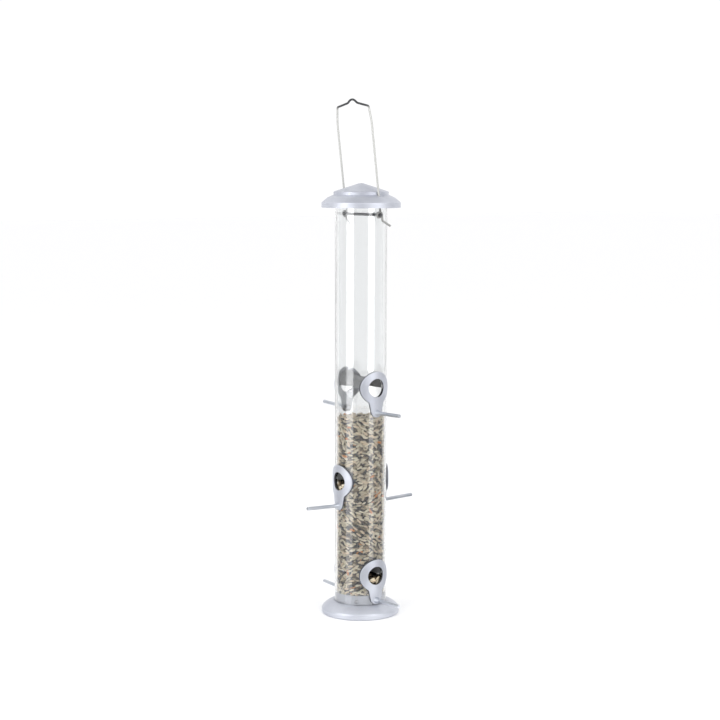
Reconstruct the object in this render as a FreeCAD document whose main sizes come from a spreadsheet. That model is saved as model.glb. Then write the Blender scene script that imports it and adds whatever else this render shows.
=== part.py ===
import FreeCAD, Part
import math
import os

import Sketcher
from FreeCAD import Placement, Rotation, Vector

# Hanging tube bird feeder. Frame: +Z up, origin at the bottom centre of the base.
# The crossbar and the top and bottom feed ports lie along X, the middle ports along Y.

SIZES = [
    ("tube_diameter", 60.0), ("tube_wall", 2.0), ("tube_foot", 11.0), ("tube_length", 476.7),
    ("port_spacing", 109.0), ("low_port_height", 48.2), ("feed_hole_radius", 10.5),
    ("port_thickness", 2.5), ("port_ring_width", 8.5), ("port_neck_radius", 5.0),
    ("stem_foot_margin", 2.5), ("stem_taper", 2.0), ("stem_foot_rise", 0.7),
    ("stem_end_slack", 0.6), ("port_edge_round", 0.7), ("port_trim", 2.0),
    ("perch_radius", 2.1), ("perch_length", 44.7), ("perch_drop", 29.7), ("perch_tilt", 2.0),
    ("perch_tail", 4.0), ("perch_boss_width", 2.4), ("perch_boss_length", 5.0),
    ("perch_chamfer", 0.5), ("perch_fit", 0.2), ("nut_width", 1.94), ("nut_thickness", 3.2),
    ("nut_wall_gap", 0.2), ("nut_head_room", 0.29), ("nut_pocket_room", 1.16),
    ("hood_inset", 0.9), ("hood_thickness", 1.2), ("hood_straight_half", 7.0),
    ("hood_flare_radius", 50.0), ("hood_wrap", 190.0),
    ("seed_height", 232.0), ("seed_void_wrap", 220.0), ("seed_pocket_end", 1.0),
    ("base_overhang", 15.0), ("base_lip", 4.9), ("base_edge", 0.8), ("base_sheet", 1.5),
    ("base_shoulder_width", 2.0), ("base_shoulder_height", 7.9), ("base_crown_width", 1.6),
    ("base_crown_rise", 3.0), ("base_crown_skin", 1.8), ("base_dome_curve", 22.0),
    ("base_lip_inset", 0.4), ("base_shoulder_inset", 0.7),
    ("drain_radius", 1.6), ("drain_circle", 15.0), ("drain_count", 6),
    ("screw_radius", 1.25), ("screw_head_radius", 2.1), ("screw_head_height", 1.3),
    ("screw_crown_radius", 1.26), ("screw_rim_height", 0.52), ("screw_rise", 7.0), ("screw_fit", 0.1),
    ("lid_overhang", 15.3), ("lid_sheet", 0.9), ("lid_skirt", 5.0), ("lid_shoulder_width", 1.5),
    ("lid_shoulder_top", 7.0), ("lid_shoulder_curve", 2.4), ("lid_shoulder_inset", 0.5),
    ("lid_skirt_inset", 0.2), ("lid_ledge_width", 8.6), ("lid_ledge_height", 11.4),
    ("lid_ledge_inset", 0.3), ("lid_step_foot", 14.0), ("lid_step_flare", 1.3),
    ("lid_step_bend", 0.5), ("lid_step_top", 18.4), ("lid_step_bevel", 0.7),
    ("lid_step_bevel_drop", 0.6), ("lid_apex", 27.8), ("lid_apex_flat", 2.5),
    ("lid_apex_drop", 0.3), ("lid_clearance", 0.65), ("lid_seat_gap", 0.35),
    ("wire_radius", 1.2), ("wire_running_fit", 0.09), ("wrap_gap", 0.2), ("knuckle_swell", 0.07),
    ("slot_rim", 0.25), ("slot_margin", 0.35), ("slot_back", 0.55), ("slot_swing", 5.2),
    ("bail_corner", 3.0), ("bail_lean", 7.0), ("leg_straight", 98.8), ("leg_curve", 60.0),
    ("leg_lean", 10.0), ("leg_slant_length", 10.6), ("arm_rise", 11.0), ("bump_curve", 10.6),
    ("bump_slope", 38.0),
    ("tail_drop", 7.0), ("tail_end_drop", 7.0), ("tail_sideways", 8.0), ("tail_outward", 3.0),
    ("crossbar_radius", 1.6), ("crossbar_end", 3.55), ("crossbar_below_top", 24.8),
    ("crossbar_chamfer", 0.4),
]
HEX_SIDES = 6
BETWEEN_PORTS = 45
NEARLY_ZERO = 1e-9
ON_SURFACE = 1e-3

doc = FreeCAD.newDocument("feeder")
sheet = doc.addObject("Spreadsheet::Sheet", "Sizes")
for row, (alias, number) in enumerate(SIZES, start=1):
    sheet.set(f"A{row}", alias)
    sheet.set(f"B{row}", str(number))
    sheet.setAlias(f"B{row}", alias)
doc.recompute()


class Size:
    """A length that knows both its number and the sheet expression that gives it."""

    def __init__(self, number, text):
        self.number = float(number)
        self.text = text

    def __add__(self, other):
        other = as_size(other)
        return Size(self.number + other.number, f"({self.text} + {other.text})")

    def __sub__(self, other):
        other = as_size(other)
        return Size(self.number - other.number, f"({self.text} - {other.text})")

    def __mul__(self, other):
        other = as_size(other)
        return Size(self.number * other.number, f"({self.text} * {other.text})")

    def __truediv__(self, other):
        other = as_size(other)
        return Size(self.number / other.number, f"({self.text} / {other.text})")

    def __neg__(self):
        return Size(-self.number, f"(-1 * {self.text})")


def as_size(value):
    return value if isinstance(value, Size) else Size(value, repr(float(value)))


def root(size):
    return Size(math.sqrt(size.number), f"sqrt({size.text})")


def slope(angle):
    """Tangent of an angle held in degrees."""
    return Size(math.tan(math.radians(angle.number)), f"tan({angle.text} * 1 deg)")


def sine(angle):
    return Size(math.sin(math.radians(angle.number)), f"sin({angle.text} * 1 deg)")


def cosine(angle):
    return Size(math.cos(math.radians(angle.number)), f"cos({angle.text} * 1 deg)")


def named(alias):
    return Size(sheet.get(alias), f"Sizes.{alias}")


S = {alias: named(alias) for alias, number in SIZES}
ZERO = as_size(0.0)

tube_outer = S["tube_diameter"] / 2
tube_inner = tube_outer - S["tube_wall"]
tube_top = S["tube_foot"] + S["tube_length"]
port_outer = tube_outer + S["port_thickness"]
port_ring = S["feed_hole_radius"] + S["port_ring_width"]
collar_inner = tube_inner - S["base_sheet"]
base_radius = tube_outer + S["base_overhang"]
lid_radius = tube_outer + S["lid_overhang"]
lid_neck = tube_outer + S["lid_clearance"] + S["lid_sheet"]
perch_boss = S["perch_radius"] + S["perch_boss_width"]
perch_inner_end = collar_inner - S["perch_tail"]
nut_radius = S["perch_radius"] + S["nut_width"]
hood_radius = S["feed_hole_radius"] - S["hood_inset"]
screw_height = S["tube_foot"] + S["screw_rise"]
crossbar_height = tube_top - S["crossbar_below_top"]
wrap_radius = S["crossbar_radius"] + S["wire_running_fit"] + S["wire_radius"]
wire_pitch = S["wire_radius"] * 2 + S["wrap_gap"]
bail_half_width = lid_neck + S["slot_rim"] + S["slot_margin"] + S["wire_radius"]
levels = [("lower", S["low_port_height"], 0), ("middle", S["low_port_height"] + S["port_spacing"], 90),
          ("upper", S["low_port_height"] + S["port_spacing"] * 2, 0)]
SIDES = [("a", 0), ("b", 180)]


def origin_plane(body, role):
    return next(item for item in body.Origin.OriginFeatures if item.Role == role)


def new_body(label):
    body = doc.addObject("PartDesign::Body", label)
    body.Label = label
    return body


def new_sketch(body, name, role, lift=None, tilt=None, turn=None):
    """A sketch on one of the body's own planes, lifted and tilted within that plane."""
    sketch = body.newObject("Sketcher::SketchObject", name)
    sketch.AttachmentSupport = (origin_plane(body, role), [""])
    sketch.MapMode = "FlatFace"
    place = Placement()
    if turn is not None:
        place = Placement(Vector(), Rotation(Vector(0, 1, 0), turn))
    if tilt is not None:
        place = Placement(Vector(), Rotation(Vector(0, 0, 1), tilt.number))
    sketch.AttachmentOffset = place
    if tilt is not None:
        sketch.setExpression("AttachmentOffset.Rotation.Angle", f"{tilt.text} * 1 deg")
    if lift is not None:
        axis = "z" if role == "XY_Plane" else "y"
        sketch.setExpression(f"AttachmentOffset.Base.{axis}", f"{lift.text} * 1 mm")
    return sketch


def pin(sketch, geometry, point, along_u, along_v):
    """Hold one point of a sketch at sheet-driven coordinates."""
    for kind, axis, value in (("DistanceX", -2, along_u), ("DistanceY", -1, along_v)):
        if abs(value.number) < NEARLY_ZERO:
            sketch.addConstraint(Sketcher.Constraint("PointOnObject", geometry, point, axis))
            continue
        if value.number > 0:
            rule = Sketcher.Constraint(kind, -1, 1, geometry, point, value.number)
        else:
            value = -value
            rule = Sketcher.Constraint(kind, geometry, point, -1, 1, value.number)
        sketch.setExpression(f"Constraints[{sketch.addConstraint(rule)}]", value.text)


def circle(sketch, along_u, along_v, radius):
    centre = Vector(along_u.number, along_v.number, 0)
    index = sketch.addGeometry(Part.Circle(centre, Vector(0, 0, 1), radius.number))
    pin(sketch, index, 3, along_u, along_v)
    rule = sketch.addConstraint(Sketcher.Constraint("Radius", index, radius.number))
    sketch.setExpression(f"Constraints[{rule}]", radius.text)


def outline(sketch, points, arcs=None, closed=True):
    """Lines and arcs through points. arcs maps an edge to (radius, counterclockwise, the longer way)."""
    arcs = arcs or {}
    count = len(points)
    edges = count if closed else count - 1
    first = sketch.GeometryCount
    ends = []
    for edge in range(edges):
        start = Vector(points[edge][0].number, points[edge][1].number, 0)
        stop = Vector(points[(edge + 1) % count][0].number, points[(edge + 1) % count][1].number, 0)
        if edge not in arcs:
            sketch.addGeometry(Part.LineSegment(start, stop))
            ends.append((1, 2))
            continue
        radius, counter = arcs[edge][:2]
        longer = len(arcs[edge]) > 2
        chord = stop - start
        side = Vector(-chord.y, chord.x, 0).normalize() * (1 if counter != longer else -1)
        reach = math.sqrt(max(radius.number ** 2 - (chord.Length / 2) ** 2, 0.0))
        centre = (start + stop) * 0.5 + side * reach
        angles = [math.atan2(end.y - centre.y, end.x - centre.x) for end in (start, stop)]
        if not counter:
            angles.reverse()
        base = Part.Circle(centre, Vector(0, 0, 1), radius.number)
        sketch.addGeometry(Part.ArcOfCircle(base, angles[0], angles[1]))
        ends.append((1, 2) if counter else (2, 1))
    for edge in range(edges):
        pin(sketch, first + edge, ends[edge][0], *points[edge])
        following = (edge + 1) % edges
        if closed or edge + 1 < edges:
            sketch.addConstraint(Sketcher.Constraint(
                "Coincident", first + edge, ends[edge][1], first + following, ends[following][0]))
        else:
            pin(sketch, first + edge, ends[edge][1], *points[-1])
        if edge in arcs:
            radius = arcs[edge][0]
            rule = sketch.addConstraint(Sketcher.Constraint("Radius", first + edge, radius.number))
            sketch.setExpression(f"Constraints[{rule}]", radius.text)


def box_points(left, right, low, high):
    return [(left, low), (right, low), (right, high), (left, high)]


def spin(body, kind, name, sketch, axis, wrap=None):
    """Revolution or Groove of a sketch about its own H or V axis, a full turn unless wrap is given."""
    feature = body.newObject(f"PartDesign::{kind}", name)
    feature.Profile = (sketch, [""])
    feature.ReferenceAxis = (sketch, [f"{axis}_Axis"])
    feature.Angle = 360
    if wrap is not None:
        feature.Midplane = True
        feature.Angle = wrap.number
        feature.setExpression("Angle", f"{wrap.text} * 1 deg")
    return feature


def pad(body, name, sketch, length):
    feature = body.newObject("PartDesign::Pad", name)
    feature.Profile = (sketch, [""])
    feature.Length = length.number
    feature.setExpression("Length", f"{length.text} * 1 mm")
    return feature


def pocket_through(body, name, sketch):
    feature = body.newObject("PartDesign::Pocket", name)
    feature.Profile = (sketch, [""])
    feature.Type = "ThroughAll"
    feature.Midplane = True
    return feature


def place(item, along_x, along_y, along_z, turn):
    """Put a finished piece at sheet-driven coordinates with a fixed rotation."""
    item.Placement = Placement(Vector(along_x.number, along_y.number, along_z.number), turn)
    for axis, value in (("x", along_x), ("y", along_y), ("z", along_z)):
        item.setExpression(f"Placement.Base.{axis}", f"{value.text} * 1 mm")


def about_z(degrees):
    return Rotation(Vector(0, 0, 1), degrees)


perch_mid_height = -S["perch_drop"] + slope(S["perch_tilt"]) * (tube_outer + S["port_thickness"] / 2)
nut_face = root(collar_inner * collar_inner - nut_radius * nut_radius) - S["nut_wall_gap"]
nut_top = nut_face * slope(S["perch_tilt"]) - S["perch_drop"] + nut_radius * cosine(as_size(180 / HEX_SIDES))
collar_top = S["low_port_height"] + nut_top + S["nut_head_room"] + S["base_sheet"]


def make_tube():
    body = new_body("tube")
    sketch = new_sketch(body, "tube_ring", "XY_Plane", lift=S["tube_foot"])
    circle(sketch, ZERO, ZERO, tube_outer)
    circle(sketch, ZERO, ZERO, tube_inner)
    pad(body, "tube_wall_pad", sketch, S["tube_length"])
    along_x = new_sketch(body, "holes_along_x", "YZ_Plane")
    along_y = new_sketch(body, "holes_along_y", "XZ_Plane")
    for name, height, turn in levels:
        sketch = along_y if turn else along_x
        circle(sketch, ZERO, height, S["feed_hole_radius"])
        circle(sketch, ZERO, height + perch_mid_height, S["perch_radius"] + S["perch_fit"])
    circle(along_x, ZERO, crossbar_height, S["crossbar_radius"])
    pocket_through(body, "cut_along_x", along_x)
    pocket_through(body, "cut_along_y", along_y)
    sketch = new_sketch(body, "screw_hole", "XZ_Plane", turn=BETWEEN_PORTS)
    circle(sketch, ZERO, screw_height, S["screw_radius"] + S["screw_fit"])
    pocket_through(body, "cut_screws", sketch)
    return body


def make_base():
    body = new_body("base")
    """Bell-shaped foot: the collar fits inside the tube, and the tube stands on its inner seat."""
    rim, skin, lip = base_radius, S["base_sheet"], S["base_lip"]
    seat, crown = S["tube_foot"], tube_outer + S["base_crown_width"]
    crown_top = seat + S["base_crown_rise"]
    shoulder, shoulder_top = rim - S["base_shoulder_width"], S["base_shoulder_height"]
    points = [
        (ZERO, collar_top), (tube_inner, collar_top), (tube_inner, seat), (tube_outer, seat),
        (tube_outer, crown_top), (crown, crown_top), (shoulder, shoulder_top), (rim, lip),
        (rim, S["base_edge"]), (rim - S["base_edge"], ZERO), (rim - skin, ZERO),
        (rim - skin, lip - S["base_lip_inset"]),
        (shoulder - S["base_shoulder_inset"], shoulder_top - skin),
        (crown, crown_top - S["base_crown_skin"]), (crown, seat - skin), (collar_inner, seat - skin),
        (collar_inner, collar_top - skin), (ZERO, collar_top - skin),
    ]
    arcs = {5: (S["base_dome_curve"], False), 6: (lip, False), 12: (S["base_dome_curve"], True)}
    sketch = new_sketch(body, "base_profile", "XZ_Plane")
    outline(sketch, points, arcs)
    spin(body, "Revolution", "base_turn", sketch, "V")
    sketch = new_sketch(body, "base_screw_hole", "XZ_Plane", turn=BETWEEN_PORTS)
    circle(sketch, ZERO, screw_height, S["screw_radius"])
    pocket_through(body, "base_cut_screws", sketch)
    sketch = new_sketch(body, "base_perch_hole", "YZ_Plane")
    circle(sketch, ZERO, S["low_port_height"] + perch_mid_height, S["perch_radius"] + S["perch_fit"])
    pocket_through(body, "base_cut_perches", sketch)
    sketch = new_sketch(body, "drain_hole", "XY_Plane")
    circle(sketch, S["drain_circle"], ZERO, S["drain_radius"])
    hole = pocket_through(body, "drain_cut", sketch)
    ring = body.newObject("PartDesign::PolarPattern", "drain_ring")
    ring.Originals = [hole]
    ring.Axis = (origin_plane(body, "Z_Axis"), [""])
    ring.Angle = 360
    ring.Occurrences = int(S["drain_count"].number)
    body.Tip = ring
    return body


def make_lid():
    body = new_body("lid")
    """Stepped cone. Its neck drops over the tube, and two slots in its ledge pass the bail's legs."""
    rim, skin, skirt = lid_radius, S["lid_sheet"], S["lid_skirt"]
    neck_in = lid_neck - skin
    shoulder, shoulder_top = rim - S["lid_shoulder_width"], S["lid_shoulder_top"]
    ledge, ledge_top = tube_outer + S["lid_ledge_width"], S["lid_ledge_height"]
    step_foot, step_top, apex = S["lid_step_foot"], S["lid_step_top"], S["lid_apex"]
    points = [
        (rim, ZERO), (rim, skirt), (shoulder, shoulder_top), (ledge, ledge_top),
        (lid_neck + S["lid_step_flare"], step_foot), (lid_neck, step_foot + S["lid_step_bend"]),
        (lid_neck, step_top - S["lid_step_bevel_drop"]), (lid_neck - S["lid_step_bevel"], step_top),
        (S["lid_apex_flat"], apex - S["lid_apex_drop"]), (ZERO, apex), (ZERO, apex - skin),
        (neck_in, step_top - skin), (neck_in, step_foot - skin),
        (ledge - S["lid_ledge_inset"], ledge_top - skin),
        (shoulder - S["lid_shoulder_inset"], shoulder_top - skin),
        (rim - skin, skirt - S["lid_skirt_inset"]), (rim - skin, ZERO),
    ]
    arcs = {1: (S["lid_shoulder_curve"], True)}
    sketch = new_sketch(body, "lid_profile", "XZ_Plane")
    outline(sketch, points, arcs)
    spin(body, "Revolution", "lid_turn", sketch, "V")
    lid_foot = tube_top + S["lid_seat_gap"] - step_top + skin
    leg_rise = lid_foot + step_foot - crossbar_height
    leg_at_slot = wrap_radius / cosine(S["bail_lean"]) - leg_rise * slope(S["bail_lean"])
    half = S["wire_radius"] + S["slot_margin"]
    rear = leg_at_slot - S["wire_radius"] - S["slot_back"] + half
    front = leg_at_slot + S["wire_radius"] + S["slot_swing"] - half
    sketch = new_sketch(body, "lid_slots", "XY_Plane")
    for side in (1, -1):
        middle = bail_half_width * side
        slot = box_points(middle - half, middle + half, rear, front)
        outline(sketch, slot, {0: (half, True), 2: (half, True)})
    pocket_through(body, "lid_slot_cut", sketch)
    place(body, ZERO, ZERO, lid_foot, Rotation())
    return body


def on_cylinder(edge, radius):
    """True when the whole edge lies at one radius from the Z axis."""
    middle = edge.valueAt((edge.FirstParameter + edge.LastParameter) / 2)
    samples = [vertex.Point for vertex in edge.Vertexes] + [middle]
    return all(abs(math.hypot(point.x, point.y) - radius) < ON_SURFACE for point in samples)


def make_port(label, height, turn):
    body = new_body(label)
    ring, neck = port_ring, S["port_neck_radius"]
    foot_half = perch_boss + S["stem_foot_margin"]
    neck_half = foot_half + S["stem_taper"]
    centre_u = neck_half + neck
    centre_v = -root((ring + neck) * (ring + neck) - centre_u * centre_u)
    share = ring / (ring + neck)
    meet_u, meet_v = centre_u * share, centre_v * share
    drop = S["stem_foot_rise"] - S["perch_drop"]
    points = [(meet_u, meet_v), (-meet_u, meet_v), (-neck_half, centre_v), (-foot_half, drop),
              (foot_half, drop), (neck_half, centre_v)]
    sketch = new_sketch(body, f"{label}_keyhole", "YZ_Plane")
    outline(sketch, points, {0: (ring, True, "longer"), 1: (neck, False),
                             3: (foot_half + S["stem_end_slack"], True), 5: (neck, False)})
    circle(sketch, ZERO, ZERO, S["feed_hole_radius"])
    circle(sketch, ZERO, perch_mid_height, S["perch_radius"] + S["perch_fit"])
    pad(body, f"{label}_pad", sketch, port_outer + S["port_trim"])
    reach = ring * 2
    for name, left, right in (("inner", ZERO, tube_outer), ("outer", port_outer, port_outer + ring)):
        sketch = new_sketch(body, f"{label}_{name}_trim", "XZ_Plane")
        outline(sketch, box_points(left, right, -reach, reach))
        spin(body, "Groove", f"{label}_{name}_cut", sketch, "V")
    doc.recompute()
    cut = body.Tip
    edges = [f"Edge{number}" for number, edge in enumerate(cut.Shape.Edges, start=1)
             if on_cylinder(edge, port_outer.number)]
    rounding = body.newObject("PartDesign::Fillet", f"{label}_round")
    rounding.Base = (cut, edges)
    rounding.setExpression("Radius", f"{S['port_edge_round'].text} * 1 mm")
    place(body, ZERO, ZERO, height, about_z(turn))
    return body


def make_perch(label, height, turn):
    body = new_body(label)
    radius, boss = S["perch_radius"], perch_boss
    start, tip = tube_outer, tube_outer + S["perch_length"]
    boss_end = port_outer + S["perch_boss_length"]
    sketch = new_sketch(body, f"{label}_profile", "XZ_Plane", lift=-S["perch_drop"],
                        tilt=S["perch_tilt"])
    outline(sketch, [(start, ZERO), (tip, ZERO), (tip, radius - S["perch_chamfer"]),
                     (tip - S["perch_chamfer"], radius), (boss_end, radius), (start, boss)])
    spin(body, "Revolution", f"{label}_turn", sketch, "H")
    sketch = new_sketch(body, f"{label}_seat", "XZ_Plane", lift=-S["perch_drop"])
    outline(sketch, box_points(ZERO, port_outer, -boss * 2, boss * 2))
    spin(body, "Groove", f"{label}_seat_cut", sketch, "V")
    sketch = new_sketch(body, f"{label}_shank", "XZ_Plane", lift=-S["perch_drop"],
                        tilt=S["perch_tilt"])
    outline(sketch, box_points(perch_inner_end, boss_end, ZERO, radius))
    spin(body, "Revolution", f"{label}_shank_turn", sketch, "H")
    place(body, ZERO, ZERO, height, about_z(turn))
    return body


def make_nut(label, height, turn, wall):
    """A hexagon nut, flat side up, against the inside of a round wall."""
    prism = doc.addObject("Part::Prism", f"{label}_hex")
    bore = doc.addObject("Part::Cylinder", f"{label}_bore")
    prism.Polygon = HEX_SIDES
    prism.setExpression("Circumradius", f"{nut_radius.text} * 1 mm")
    prism.setExpression("Height", f"{S['nut_thickness'].text} * 1 mm")
    bore.setExpression("Radius", f"{S['perch_radius'].text} * 1 mm")
    bore.setExpression("Height", f"{S['nut_thickness'].text} * 1 mm")
    nut = doc.addObject("Part::Cut", label)
    nut.Label = label
    nut.Base, nut.Tool = prism, bore
    near = root(wall * wall - nut_radius * nut_radius) - S["nut_wall_gap"] - S["nut_thickness"]
    rise = near * slope(S["perch_tilt"]) - S["perch_drop"]
    flat_up = about_z(180 / HEX_SIDES)
    turned = about_z(turn) * Rotation(Vector(0, 1, 0), 90 - S["perch_tilt"].number) * flat_up
    along_x, along_y = round(math.cos(math.radians(turn))), round(math.sin(math.radians(turn)))
    place(nut, near * along_x, near * along_y, height + rise, turned)
    return nut


def hood_curve(level_inner):
    """Points and arcs of the hood's upper line, from one tube wall to the other."""
    straight, end = S["hood_straight_half"], tube_inner
    bend = S["hood_flare_radius"] - level_inner
    radius = hood_radius + level_inner
    run = end - straight
    rise = bend - root(bend * bend - run * run)
    return straight, end, radius, rise, bend


def make_hood(label, height, turn):
    body = new_body(label)
    """Half-pipe that keeps seed out of a feed way. It flares where it meets the tube at each end."""
    straight, end, low, low_rise, low_bend = hood_curve(ZERO)
    straight, end, high, high_rise, high_bend = hood_curve(S["hood_thickness"])
    points = [(-end, high + high_rise), (-end, low + low_rise), (-straight, low), (straight, low),
              (end, low + low_rise), (end, high + high_rise), (straight, high), (-straight, high)]
    sketch = new_sketch(body, f"{label}_profile", "XZ_Plane")
    outline(sketch, points, {1: (low_bend, True), 3: (low_bend, True), 5: (high_bend, False),
                             7: (high_bend, False)})
    spin(body, "Revolution", f"{label}_turn", sketch, "H", S["hood_wrap"])
    sketch = new_sketch(body, f"{label}_trim", "XZ_Plane")
    reach = tube_outer * 2
    outline(sketch, box_points(tube_inner, reach, -reach, reach))
    spin(body, "Groove", f"{label}_trim_cut", sketch, "V")
    place(body, ZERO, ZERO, height, about_z(turn))
    return body


def make_seed():
    body = new_body("seed_fill")
    sketch = new_sketch(body, "seed_disc", "XY_Plane", lift=collar_top)
    circle(sketch, ZERO, ZERO, tube_inner)
    pad(body, "seed_column", sketch, S["seed_height"] - collar_top)
    straight, end, high, rise, bend = hood_curve(S["hood_thickness"])
    deep = perch_inner_end - S["seed_pocket_end"]
    for name, height, turn in levels[:2]:
        role = "YZ_Plane" if turn else "XZ_Plane"
        sketch = new_sketch(body, f"seed_void_{name}", role, lift=height)
        points = [(-end, ZERO), (end, ZERO), (end, high + rise), (straight, high), (-straight, high),
                  (-end, high + rise)]
        outline(sketch, points, {2: (bend, False), 4: (bend, False)})
        spin(body, "Groove", f"seed_void_cut_{name}", sketch, "H", S["seed_void_wrap"])
        for side, left, right in (("near", deep, end), ("far", -end, -deep)):
            sketch = new_sketch(body, f"seed_nut_{name}_{side}", role, lift=height + perch_mid_height)
            outline(sketch, box_points(left, right, ZERO, nut_radius + S["nut_pocket_room"]))
            spin(body, "Groove", f"seed_nut_cut_{name}_{side}", sketch, "H")
    return body


def make_crossbar():
    body = new_body("crossbar")
    half = bail_half_width + wire_pitch + S["crossbar_end"]
    cut, radius = S["crossbar_chamfer"], S["crossbar_radius"]
    sketch = new_sketch(body, "crossbar_profile", "XZ_Plane")
    outline(sketch, [(-half, ZERO), (half, ZERO), (half, radius - cut), (half - cut, radius),
                     (cut - half, radius), (-half, radius - cut)])
    spin(body, "Revolution", "crossbar_turn", sketch, "H")
    place(body, ZERO, ZERO, crossbar_height, Rotation())
    return body


def make_screw(label, turn):
    body = new_body(label)
    tip, seat, head_end = collar_inner, tube_outer, tube_outer + S["screw_head_height"]
    head, shank = S["screw_head_radius"], S["screw_radius"]
    sketch = new_sketch(body, f"{label}_profile", "XZ_Plane")
    outline(sketch, [(tip, ZERO), (head_end, ZERO), (head_end, S["screw_crown_radius"]),
                     (seat + S["screw_rim_height"], head), (seat, head), (seat, shank), (tip, shank)])
    spin(body, "Revolution", f"{label}_turn", sketch, "H")
    place(body, ZERO, ZERO, screw_height, about_z(turn))
    return body


def wire_piece(name, start, stop):
    """A straight run of wire between two points given as Sizes."""
    run = doc.addObject("Part::Cylinder", name)
    run.setExpression("Radius", f"{S['wire_radius'].text} * 1 mm")
    path = Vector(*(b.number - a.number for a, b in zip(start, stop)))
    length = root(sum(((b - a) * (b - a) for a, b in zip(start, stop)), ZERO))
    run.setExpression("Height", f"{length.text} * 1 mm")
    place(run, *start, Rotation(Vector(0, 0, 1), path))
    return run


def make_bail_foot():
    """The left wire end: one turn round the crossbar, then a tail bent away from it."""
    wire, pitch, half = S["wire_radius"], wire_pitch, bail_half_width
    coil = doc.addObject("Part::Helix", "wrap_path")
    coil.setExpression("Pitch", f"{pitch.text} * 1 mm")
    coil.setExpression("Height", f"{pitch.text} * 1 mm")
    coil.setExpression("Radius", f"{wrap_radius.text} * 1 mm")
    ring = doc.addObject("Part::Circle", "wrap_section")
    ring.setExpression("Radius", f"{wire.text} * 1 mm")
    place(ring, wrap_radius, ZERO, ZERO, Rotation(Vector(1, 0, 0), 90))
    wrap = doc.addObject("Part::Sweep", "wrap_turn")
    wrap.Sections = [ring]
    wrap.Spine = (coil, ["Edge1"])
    wrap.Solid = True
    wrap.Frenet = True
    outward_from_leg = Rotation(Vector(0, 1, 0), Vector(0, 0, -1), Vector(-1, 0, 0), "ZXY")
    place(wrap, -half, ZERO, ZERO, outward_from_leg)
    tail_x = -half - pitch
    bend_at = (tail_x, wrap_radius, -S["tail_drop"])
    end_at = (tail_x - S["tail_outward"], wrap_radius + S["tail_sideways"],
              -S["tail_drop"] - S["tail_end_drop"])
    leg_end, tail_top = (-half, wrap_radius, ZERO), (tail_x, wrap_radius, ZERO)
    knuckles = []
    for name, spot in (("leg", leg_end), ("tail", tail_top), ("bend", bend_at)):
        knuckle = doc.addObject("Part::Sphere", f"knuckle_{name}")
        knuckle.setExpression("Radius", f"{(wire + S['knuckle_swell']).text} * 1 mm")
        place(knuckle, *spot, Rotation())
        knuckles.append(knuckle)
    foot = doc.addObject("Part::MultiFuse", "bail_foot_left")
    foot.Shapes = [wrap, wire_piece("tail", bend_at, tail_top),
                   wire_piece("tail_end", bend_at, end_at)] + knuckles
    return foot


def rising_half():
    """The bail's left half: up the leg, in at the top, up the sloping arm and onto the hook seat.

    Each arc is tangent to its neighbours. Headings are the leg's lean, the arm's rise and the
    seat's steepest slope.
    """
    half, lean = bail_half_width, S["leg_lean"]
    arm, steep = S["arm_rise"], S["bump_slope"]
    leg, corner, bump = S["leg_curve"], S["bail_corner"], S["bump_curve"]
    straight = S["leg_slant_length"]
    foot, bend = (-half, ZERO), (-half, S["leg_straight"])
    slant = (bend[0] + leg - leg * cosine(lean), bend[1] + leg * sine(lean))
    turn = (slant[0] + straight * sine(lean), slant[1] + straight * cosine(lean))
    arm_start = (turn[0] + corner * (cosine(lean) - sine(arm)),
                 turn[1] + corner * (cosine(arm) - sine(lean)))
    seat_half = bump * (sine(steep) * 2 - sine(arm))
    arm_end = (-seat_half, arm_start[1] + (-seat_half - arm_start[0]) * slope(arm))
    flank = (arm_end[0] + bump * (sine(steep) - sine(arm)),
             arm_end[1] + bump * (cosine(arm) - cosine(steep)))
    return [foot, bend, slant, turn, arm_start, arm_end, flank]


def make_bail():
    path = doc.addObject("Sketcher::SketchObject", "bail_path")
    path.Placement = Placement(Vector(), Rotation(Vector(1, 0, 0), 90))
    rising = rising_half()
    points = rising + [(-along, up) for along, up in reversed(rising)]
    lean_in, corner, bump = S["leg_curve"], S["bail_corner"], S["bump_curve"]
    left_arcs = {1: (lean_in, False), 3: (corner, False), 5: (bump, True)}
    last_edge = len(points) - 2
    arcs = left_arcs | {last_edge - edge: arc for edge, arc in left_arcs.items()} | {6: (bump, False)}
    outline(path, points, arcs, closed=False)
    section = doc.addObject("Part::Circle", "bail_section")
    section.setExpression("Radius", f"{S['wire_radius'].text} * 1 mm")
    place(section, -bail_half_width, ZERO, ZERO, Rotation())
    hoop = doc.addObject("Part::Sweep", "bail_hoop")
    hoop.Sections = [section]
    hoop.Spine = (path, [f"Edge{number}" for number in range(1, len(points))])
    hoop.Solid = True
    place(hoop, ZERO, wrap_radius, ZERO, Rotation())
    foot = make_bail_foot()
    mirrored = doc.addObject("Part::Mirroring", "bail_foot_right")
    mirrored.Source = foot
    mirrored.Normal = Vector(1, 0, 0)
    bail = doc.addObject("Part::MultiFuse", "bail")
    bail.Label = "bail"
    bail.Shapes = [hoop, foot, mirrored]
    place(bail, ZERO, ZERO, crossbar_height, Rotation(Vector(1, 0, 0), S["bail_lean"].number))
    return bail


nodes = [make_tube(), make_base(), make_lid(), make_bail(), make_crossbar(), make_seed(),
         make_screw("base_screw_front", -BETWEEN_PORTS), make_screw("base_screw_rear", 180 - BETWEEN_PORTS)]
for level, height, turn in levels:
    nodes.append(make_hood(f"seed_hood_{level}", height, turn))
    for side, extra in SIDES:
        facing = turn + extra
        nodes.append(make_port(f"port_{level}_{side}", height, facing))
        nodes.append(make_perch(f"perch_{level}_{side}", height, facing))
        wall = collar_inner if level == "lower" else tube_inner
        nodes.append(make_nut(f"perch_nut_{level}_{side}", height, facing, wall))
doc.recompute()

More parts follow.
